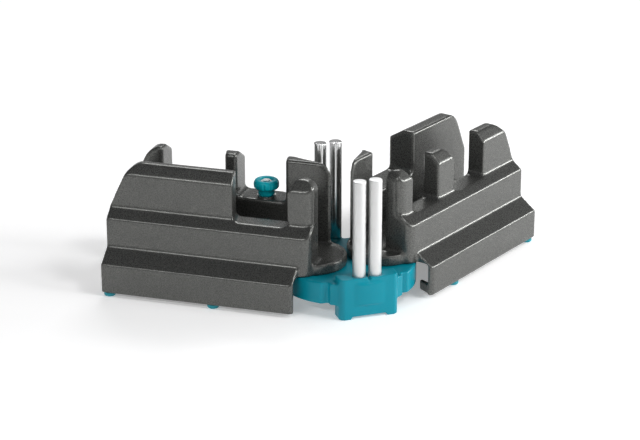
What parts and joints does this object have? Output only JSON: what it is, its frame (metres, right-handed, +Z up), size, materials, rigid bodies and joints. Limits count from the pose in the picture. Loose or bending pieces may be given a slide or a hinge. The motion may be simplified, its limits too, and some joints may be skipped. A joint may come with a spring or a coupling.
{
  "type": "self-bisecting mitre guide",
  "caption": "Adjustable mitre box: two stepped channel halves turn on a small base, and steel pins guide the saw through the bisector.",
  "frame": {"origin": "on the saw slot's plane, midway between the two pivots, at bench level", "axes": "+X along the row of the two halves, +Y from the front pins to the rear pins along the saw slot, +Z up"},
  "size_m": [0.3802, 0.2093, 0.1128],
  "materials": {
    "base_plastic": "smooth moulded teal plastic with a soft gloss",
    "channel_grey": "dark grey moulded plastic with a fine metallic fleck",
    "pin_steel": "ground and polished steel rod",
    "bush_bronze": "plain bronze bearing",
    "gear_plastic": "black glass-filled nylon",
    "plated_steel": "bright zinc plated steel",
    "knob_plastic": "moulded teal plastic",
    "foot_rubber": "teal rubber"
  },
  "bodies": {
    "base": {"base_plate": "base_plastic", "front_left_pin": "pin_steel", "front_right_pin": "pin_steel", "rear_left_pin": "pin_steel", "rear_right_pin": "pin_steel", "left_bush": "bush_bronze", "right_bush": "bush_bronze", "lock_quadrant": "plated_steel", "quadrant_screws": "plated_steel"},
    "left_half": {"left_channel": "channel_grey", "left_gear": "gear_plastic", "left_gear_key": "plated_steel", "left_pivot_washer": "plated_steel", "left_pivot_screw": "plated_steel", "left_feet": "foot_rubber", "lock_bolt": "plated_steel", "lock_clamp_plate": "plated_steel"},
    "right_half": {"right_channel": "channel_grey", "right_gear": "gear_plastic", "right_gear_key": "plated_steel", "right_pivot_washer": "plated_steel", "right_pivot_screw": "plated_steel", "right_feet": "foot_rubber"},
    "knob_carrier": {"lock_washer": "plated_steel"},
    "knob": {"lock_knob": "knob_plastic", "knob_insert": "plated_steel"}
  },
  "joints": [
    {"name": "right_swing", "type": "hinge", "parent": "base", "child": "right_half", "pos_m": [0.03, 0, 0.03], "axis": [0, 0, 1], "range_deg": [-35.3, 12.2]},
    {"name": "left_swing", "type": "hinge", "parent": "base", "child": "left_half", "pos_m": [-0.03, 0, 0.03], "axis": [0, 0, 1], "range_deg": [-12.2, 35.3]},
    {"name": "knob_rise", "type": "slide", "parent": "left_half", "child": "knob_carrier", "axis": [0, 0, 1], "range_m": [0, 0.00075]},
    {"name": "knob_turn", "type": "hinge", "parent": "knob_carrier", "child": "knob", "pos_m": [-0.04964, 0.05618, 0.0705], "axis": [0, 0, 1], "range_deg": [0, 270]}
  ],
  "couplings": [
    {"joint": "left_swing", "follows": "right_swing", "ratio": -1},
    {"joint": "knob_turn", "follows": "knob_rise", "rad_per_m": 6283}
  ]
}
